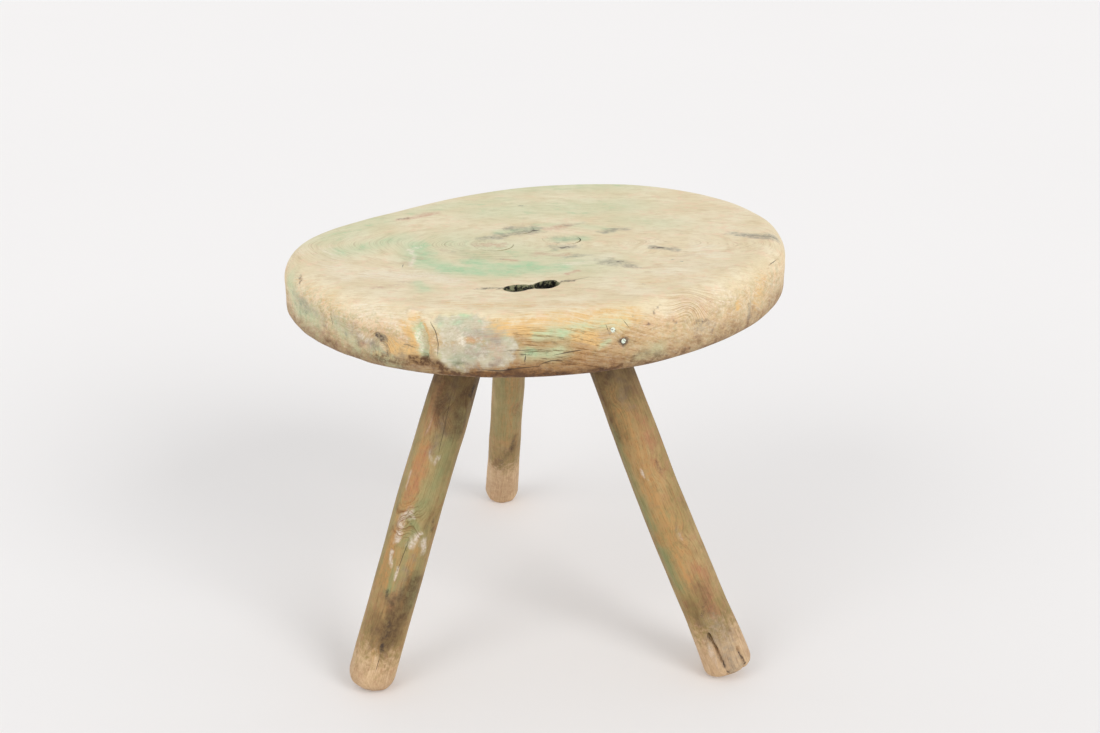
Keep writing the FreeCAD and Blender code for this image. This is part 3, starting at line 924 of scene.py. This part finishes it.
PER_SIDE = 12  # points along each side of a wedge's ring

# A nail's distances out from the rim, and its radius there in shares of the CAD nail's.
NAIL_PROFILE = [
    (-24, 0.1), (-21, 0.7), (-19, 1), (-10, 1), (-1.2, 1), (-0.5, 1.05), (-0.1, 1.3), (0.25, 1.25),
    (0.45, 1.0), (0.55, 0.7), (0.5, 0.4), (0.45, 0.1),
]


def wedge_block(name, label, grow, reach):
    """A block like the CAD wedge, grown a little, up to some share of the height above its root."""
    axis = POLES[name].axis
    corners = np.unique(np.round(node_points(f"wedge_{name}"), 2), axis=0)
    level = corners[:, 2] > TOP - 0.5
    top, low = corners[level], corners[~level]
    gap = top - top.mean(axis=0)
    top = top[np.argsort(np.arctan2(gap[:, 1], gap[:, 0]))]

    def under(corner):
        return min(low, key=lambda place: np.linalg.norm(np.cross(place - corner, axis)))

    root = np.array([under(corner) for corner in top])
    rings = []
    for share in np.linspace(-0.01, reach, 34):
        four = root + (top - root) * share
        sides = np.array([unit(four[1] - four[0]), unit(four[3] - four[0])])
        four = four + grow * np.sign((four - four.mean(axis=0)) @ sides.T) @ sides
        edges = zip(four, np.roll(four, -1, axis=0))
        rings.append([a + (b - a) * part / PER_SIDE for a, b in edges for part in range(PER_SIDE)])
    hub = np.mean(rings[-1], axis=0)
    rings += [hub + (np.array(rings[-1]) - hub) * share for share in (0.8, 0.6, 0.4, 0.2)]
    return skin(f"{label}_{name}", rings)


def make_wedge(name, material):
    piece = wedge_block(name, "driven_wedge", -0.05, 1.0)
    points = points_of(piece)
    push(piece, 0.08 * noise(points, (3, 3, 9), 51) * (points[:, 2] < TOP - 1))
    points = points_of(piece)
    down, turn, out = POLES[name].measure(points)
    u, v = out * np.cos(turn), out * np.sin(turn)
    keep(piece, np.stack([down, 0.9 * u + 0.4 * v, v], axis=1), seat_values(points))
    finish_piece(piece, f"wedge_{name}", [material])


def make_nails(material):
    """Both nails, each with a tapered shank and a hammered end that shows in the rim."""
    points = node_points("edge_nails")
    levels = np.sort(points[:, 2])
    split = levels[np.argmax(np.diff(levels))] + 0.1
    upper = points[:, 2] > split
    for name, nail in (("upper", points[upper]), ("lower", points[~upper])):
        tip = nail[np.argmin(np.linalg.norm(nail[:, :2] - CENTRE, axis=1))]
        distance = np.linalg.norm(nail - tip, axis=1)
        end = nail[distance > distance.max() - 0.01]
        centre = end.mean(axis=0)
        radius = np.linalg.norm(end[0] - centre)
        axis = unit(centre - tip)
        first = unit(np.cross(axis, (0, 0, 1)))
        second = np.cross(axis, first)
        turns = np.linspace(0, tau, 41)[:-1]
        circle = np.cos(turns)[:, None] * first + np.sin(turns)[:, None] * second
        rings = [centre + axis * along + circle * radius * size for along, size in NAIL_PROFILE]
        piece = skin(f"{name}_nail_end", rings)
        push(piece, 0.09 * noise(points_of(piece), 0.9, 61))
        finish_piece(piece, "edge_nails", [material])


# ---------------------------------------------------------------- materials


def tone(red, green, blue):
    """A colour from the 0 to 255 values that a screen shows."""
    shares = np.array([red, green, blue]) / 255
    return [*np.where(shares <= 0.04045, shares / 12.92, ((shares + 0.055) / 1.055) ** 2.4).tolist(), 1]


class Graph:
    """A material's nodes, put together with one short call for each."""

    def __init__(self, name):
        self.material = bpy.data.materials.new(name)
        self.material.use_nodes = True
        self.tree = self.material.node_tree
        self.shader = self.tree.nodes["Principled BSDF"]
        self.space = self.vector("SCALE", self.node("ShaderNodeTexCoord").outputs["Object"], scale=1 / MM)

    def node(self, kind, **settings):
        node = self.tree.nodes.new(kind)
        for name, value in settings.items():
            setattr(node, name, value)
        return node

    def plug(self, socket, value):
        if isinstance(value, bpy.types.NodeSocket):
            self.tree.links.new(value, socket)
        else:
            socket.default_value = value

    def vector(self, operation, first, second=(0, 0, 0), scale=1.0):
        node = self.node("ShaderNodeVectorMath", operation=operation)
        self.plug(node.inputs[0], first)
        if operation == "SCALE":
            self.plug(node.inputs["Scale"], scale)
        else:
            self.plug(node.inputs[1], second)
        return node.outputs["Vector"]

    def math(self, operation, first, second=0.0, third=0.0):
        node = self.node("ShaderNodeMath", operation=operation)
        for socket, value in zip(node.inputs, (first, second, third)):
            self.plug(socket, value)
        return node.outputs[0]

    def noise(self, space, size, detail=3.0, roughness=0.55):
        """Noise from 0 to 1 whose lumps have the given size, one number or one for each axis."""
        sizes = size if isinstance(size, tuple) else (size,) * 3
        node = self.node("ShaderNodeTexNoise")
        self.plug(node.inputs["Vector"], self.vector("DIVIDE", space, sizes))
        self.plug(node.inputs["Scale"], 1.0)
        self.plug(node.inputs["Detail"], detail)
        self.plug(node.inputs["Roughness"], roughness)
        return node.outputs[0]

    def step(self, value, low, high, reach=1.0):
        node = self.node("ShaderNodeMapRange", interpolation_type="SMOOTHSTEP")
        for socket, number in zip(node.inputs, (value, low, high, 0.0, reach)):
            self.plug(socket, number)
        return node.outputs[0]

    def mix(self, share, first, second, blend="MIX"):
        node = self.node("ShaderNodeMix", data_type="RGBA", blend_type=blend)
        self.plug(node.inputs[0], share)
        self.plug(node.inputs[6], first)
        self.plug(node.inputs[7], second)
        return node.outputs[2]

    def attribute(self, name):
        return self.node("ShaderNodeAttribute", attribute_name=name).outputs["Vector"]

    def split(self, vector):
        node = self.node("ShaderNodeSeparateXYZ")
        self.plug(node.inputs[0], vector)
        return node.outputs

    def dress(self, paint, roughness, gloss):
        """Gives the shader its colour, roughness and gloss, and hands back the material."""
        values = {"Base Color": paint, "Roughness": roughness, "Specular IOR Level": gloss}
        for name, value in values.items():
            self.plug(self.shader.inputs[name], value)
        return self.material

    def bump(self, height, strength, distance):
        node = self.node("ShaderNodeBump")
        for name, value in {"Height": height, "Strength": strength, "Distance": distance}.items():
            self.plug(node.inputs[name], value)
        self.plug(self.shader.inputs["Normal"], node.outputs[0])

    def product(self, first, *others):
        for other in others:
            first = self.math("MULTIPLY", first, other)
        return first

    def ragged(self, mask, texture, detail, spread=1.6, low=0.2, high=1.0):
        """A mask whose edge one texture breaks up into patches, worn thin in places by another texture."""
        level = self.math("MULTIPLY_ADD", self.math("SUBTRACT", texture, 0.5), spread, mask)
        worn = self.math("MULTIPLY_ADD", self.step(detail, 0.38, 0.56), 0.6, 0.4)
        return self.product(self.step(level, low, high), self.step(mask, 0.02, 0.25), worn)


# Each of the old wood's colours, on the seat and on the legs. The legs' colours are their own wood's, made
# darker as painted shade.
COLOURS = {
    "straw": ((226, 211, 176), (158, 135, 86)),
    "cream": ((234, 222, 192), (176, 150, 102)),
    "tan": ((212, 190, 148), (134, 108, 66)),
    "blush": ((234, 204, 174), (172, 130, 94)),
    "ochre": ((220, 182, 122), (178, 136, 84)),
    "rust": ((170, 122, 70), (128, 88, 58)),
    "moss": ((168, 168, 128), (112, 112, 68)),
    "umber_and_shade": ((92, 64, 40), (88, 68, 42)),
    "soil_and_shade": ((180, 148, 106), (158, 142, 122)),
    "mint": ((164, 206, 162), (132, 138, 92)),
    "sage": ((194, 210, 172), (138, 140, 96)),
    "grey": ((140, 138, 126), (128, 122, 106)),
    "scar": ((192, 186, 162), (204, 174, 138)),
    "teal": ((164, 174, 152), (188, 156, 122)),
    "lilac": ((176, 158, 148), (188, 152, 118)),
    "fleck": ((216, 210, 196), (214, 186, 152)),
    "pale": ((238, 230, 212), (212, 200, 186)),
    "pink": ((200, 148, 126), (176, 118, 86)),
    "dark": ((70, 60, 54), (58, 46, 38)),
    "black": ((14, 12, 10), (22, 17, 13)),
    "ring": ((190, 160, 124), (176, 138, 102)),
}
ON_SEAT, ON_LEGS = 0, 1



def old_wood(name, place):
    """Bare, handled wood with worn-off paint, stains, growth rings, checks and cracks, and some painted
    shade and highlight.
    """
    graph = Graph(name)
    colour = {key: tone(*pair[place]) for key, pair in COLOURS.items()}
    grain = graph.attribute("grain")
    mask = {}
    for row, kinds in ROWS.items():
        mask.update(zip(kinds, graph.split(graph.attribute(row))))

    blotch = graph.noise(graph.space, 34, 4)
    mottle = graph.noise(graph.space, 8, 5, 0.65)
    crumb = graph.noise(graph.vector("ADD", graph.space, (90, 40, 70)), 3.6, 5, 0.7)
    flake = graph.noise(graph.vector("ADD", graph.space, (20, 60, 30)), (7, 7, 1.9), 5, 0.65)
    fine = graph.noise(graph.space, 1.7, 4, 0.65)
    patch = graph.noise(grain, (14, 6, 8), 5, 0.65)
    streak = graph.noise(grain, (34, 1.6, 5), 4, 0.6)
    fibre = graph.noise(grain, (8, 0.4, 1.0), 3, 0.6)
    rings = graph.noise(grain, (150, 0.6, 60), 2, 0.6)

    def lay(paint, share, key, blend="MIX"):
        return graph.mix(share, paint, colour[key], blend)

    def faint(kind, share):
        return graph.math("MINIMUM", graph.product(mask[kind], share), 1.0)

    def stain(paint, kind, share, texture, detail, *bounds):
        return lay(paint, graph.product(graph.ragged(mask[kind], texture, detail, *bounds), share), kind)

    rim = mask["rim"]
    front = graph.product(mask["front"], graph.step(mask["bare"], 0.4, 0.2))
    paint = graph.mix(graph.step(blotch, 0.38, 0.62), colour["straw"], colour["cream"])
    paint = lay(paint, graph.step(patch, 0.46, 0.7, 0.6), "tan")
    paint = lay(paint, graph.step(mottle, 0.5, 0.68, 0.55), "blush")
    side = graph.math("MULTIPLY_ADD", mask["front"], 0.5, 0.4)
    paint = lay(paint, graph.product(rim, graph.step(streak, 0.25, 0.6), side), "ochre")
    paint = lay(paint, graph.product(rim, graph.step(mottle, 0.52, 0.38, 0.3)), "moss")
    paint = lay(paint, graph.product(mask["crust"], graph.step(crumb, 0.5, 0.4, 0.5)), "moss")
    paint = lay(paint, graph.product(mask["crust"], graph.step(crumb, 0.5, 0.62, 0.6)), "blush")
    paint = lay(paint, graph.product(rim, graph.step(flake, 0.46, 0.66, 0.34)), "rust")
    paint = lay(paint, graph.product(rim, graph.step(fine, 0.5, 0.66, 0.35)), "pale")
    # Painted shade: the front of the rim is darkened, and a little yellowed, as its side gets less light
    # than the top.
    paint = lay(paint, graph.product(mask["front"], 0.58), "soil_and_shade", "MULTIPLY")
    # The same colour darkens the umber stains, the rim towards the bottom and, as painted shade with some
    # grime, the legs' tops.
    paint = lay(paint, faint("umber_and_shade", 0.6), "soil_and_shade", "MULTIPLY")
    paint = lay(paint, faint("mint", 0.85), "sage")

    scarred = graph.mix(graph.step(blotch, 0.54, 0.46, 0.7), colour["scar"], colour["teal"])
    scarred = lay(scarred, graph.step(mottle, 0.48, 0.66, 0.6), "lilac")
    scarred = lay(scarred, graph.step(crumb, 0.46, 0.66, 0.6), "fleck")
    edge = graph.math("MULTIPLY_ADD", graph.math("SUBTRACT", crumb, 0.5), 1.1, mask["bare"])
    laid = graph.product(graph.step(edge, 0.25, 0.7, 0.84), graph.step(mask["bare"], 0.02, 0.2))
    paint = graph.mix(laid, paint, scarred)
    worn = graph.math("MULTIPLY_ADD", graph.math("SUBTRACT", mottle, patch), 0.6, patch)
    paint = stain(paint, "mint", 0.82, worn, crumb, 3.4, 0.4, 1.4)
    paint = stain(paint, "ochre", 1, streak, crumb)
    paint = stain(paint, "pale", 0.8, streak, fine, 2.0)
    paint = stain(paint, "pink", 0.65, patch, fine)
    paint = stain(paint, "grey", 0.7, mottle, crumb)
    paint = lay(paint, graph.product(graph.step(rings, 0.42, 0.66), mask["figure"]), "ring", "MULTIPLY")
    paint = stain(paint, "umber_and_shade", 1, worn, crumb, 1.8, 0.4, 1.3)
    paint = stain(paint, "dark", 0.9, fine, crumb)
    paint = lay(paint, graph.step(fibre, 0.48, 0.72, 0.4), "ring", "MULTIPLY")
    dash = graph.product(graph.step(streak, 0.5, 0.64), graph.step(fibre, 0.46, 0.6), front)
    paint = lay(paint, graph.product(dash, 0.6), "rust", "MULTIPLY")

    wobble = graph.product(graph.math("SUBTRACT", mottle, 0.5), 3.0)
    line = graph.step(graph.math("ABSOLUTE", graph.math("ADD", mask["across"], wobble)), 1.0, 0.35)
    line = graph.product(line, graph.step(mask["nearness"], 0.2, 0.7))
    paint = lay(paint, graph.product(line, 0.8), "dark")
    # The hole's rotten wood: crumbs near the mouth and, as painted shade, near black deeper down.
    crumbs = graph.product(graph.step(crumb, 0.44, 0.6, 0.7), graph.step(mask["rot"], 0.95, 0.5))
    rotten = graph.mix(crumbs, colour["black"], colour["moss"])
    paint = graph.mix(graph.step(mask["rot"], 0.05, 0.3), paint, rotten)

    height = graph.product(rings, mask["figure"], 0.5)
    height = graph.math("MULTIPLY_ADD", fibre, 0.35, height)
    height = graph.math("MULTIPLY_ADD", fine, 0.45, height)
    height = graph.math("MULTIPLY_ADD", crumb, graph.math("MULTIPLY_ADD", mask["crust"], 0.7, 0.25), height)
    height = graph.math("MULTIPLY_ADD", flake, graph.product(rim, 0.5), height)
    height = graph.math("MULTIPLY_ADD", dash, -0.8, height)
    height = graph.math("MULTIPLY_ADD", line, -1.5, height)
    graph.bump(height, 0.8, 0.6 * MM)
    return graph.dress(paint, graph.math("MULTIPLY_ADD", mottle, 0.2, 0.52), 0.3)


def painted_steel(name):
    """A rusty nail with pale paint left on its end."""
    graph = Graph(name)
    fine = graph.noise(graph.space, 0.9, 3)
    rust = graph.mix(graph.step(fine, 0.4, 0.6), tone(96, 72, 54), tone(140, 120, 98))
    paint = graph.mix(graph.step(fine, 0.36, 0.52), rust, tone(214, 224, 208))
    graph.bump(fine, 0.5, 0.2 * MM)
    return graph.dress(paint, graph.math("MULTIPLY_ADD", fine, 0.3, 0.4), 0.4)


# ---------------------------------------------------------------- floor, light and camera


FLOOR_REACH = 20 / MM


def make_floor():
    graph = Graph("pale_floor")
    shade = graph.noise(graph.space, 900, 2)
    paint = graph.mix(shade, tone(240, 239, 239), tone(242, 241, 241))
    corners = np.array([(-1, -1, 0), (1, -1, 0), (1, 1, 0), (-1, 1, 0)]) * FLOOR_REACH
    floor = new_object("floor", corners, [[0, 1, 2, 3]])
    floor.data.materials.append(graph.dress(paint, 1.0, 0.0))


# The light from all round fades from one strength to the other between two heights of its direction.
SKY = {"From Min": 0.25, "From Max": 0.9, "To Min": 1.24, "To Max": 0.46}

# Each lamp: the way that its light comes from, its strength and how wide it is in degrees.
LAMPS = {
    "left": ((-0.66, -0.72, 0.66), 0.6, 34),
    "right": ((0.68, -0.74, 0.64), 1.06, 28),
}


def make_lights():
    """Two soft lamps in front, and white light from all round that is weaker overhead."""
    world = bpy.data.worlds.new("studio")
    bpy.context.scene.world = world
    world.use_nodes = True
    tree = world.node_tree
    background = tree.nodes["Background"]
    background.inputs["Color"].default_value = (1, 0.99, 0.985, 1)
    way = tree.nodes.new("ShaderNodeTexCoord")
    parts = tree.nodes.new("ShaderNodeSeparateXYZ")
    fade = tree.nodes.new("ShaderNodeMapRange")
    tree.links.new(way.outputs["Generated"], parts.inputs[0])
    tree.links.new(parts.outputs["Z"], fade.inputs["Value"])
    tree.links.new(fade.outputs[0], background.inputs["Strength"])
    for name, value in SKY.items():
        fade.inputs[name].default_value = value
    for name, (source, strength, width) in LAMPS.items():
        lamp = bpy.data.lights.new(name, "SUN")
        lamp.energy = strength
        lamp.angle = radians(width)
        holder = bpy.data.objects.new(name, lamp)
        holder.rotation_euler = Vector(source).to_track_quat("Z", "Y").to_euler()
        bpy.context.scene.collection.objects.link(holder)


# The camera's place in metres and how far it is tipped up from straight down, in degrees.
CAMERA_PLACE = (0.0068, -1.0738, 0.6191)
CAMERA_TILT = 68.714


def make_camera():
    data = bpy.data.cameras.new("camera")
    data.lens = 50
    data.sensor_width = 36
    camera = bpy.data.objects.new("camera", data)
    camera.location = CAMERA_PLACE
    camera.rotation_euler = (radians(CAMERA_TILT), 0, 0)
    bpy.context.scene.collection.objects.link(camera)
    bpy.context.scene.camera = camera


for leftover in ("Cube", "Light", "Camera"):
    if leftover in bpy.data.objects:
        bpy.data.objects.remove(bpy.data.objects[leftover])
bpy.context.scene.view_settings.view_transform = "Standard"

seat_wood = old_wood("old_seat_wood", ON_SEAT)
leg_wood = old_wood("old_leg_wood", ON_LEGS)
wedge_wood = old_wood("old_wedge_wood", ON_SEAT)
make_seat(seat_wood)
for leg in POLES:
    make_leg(leg, leg_wood, seat_wood)
    make_wedge(leg, wedge_wood)
make_nails(painted_steel("painted_steel"))
make_floor()
make_lights()
make_camera()
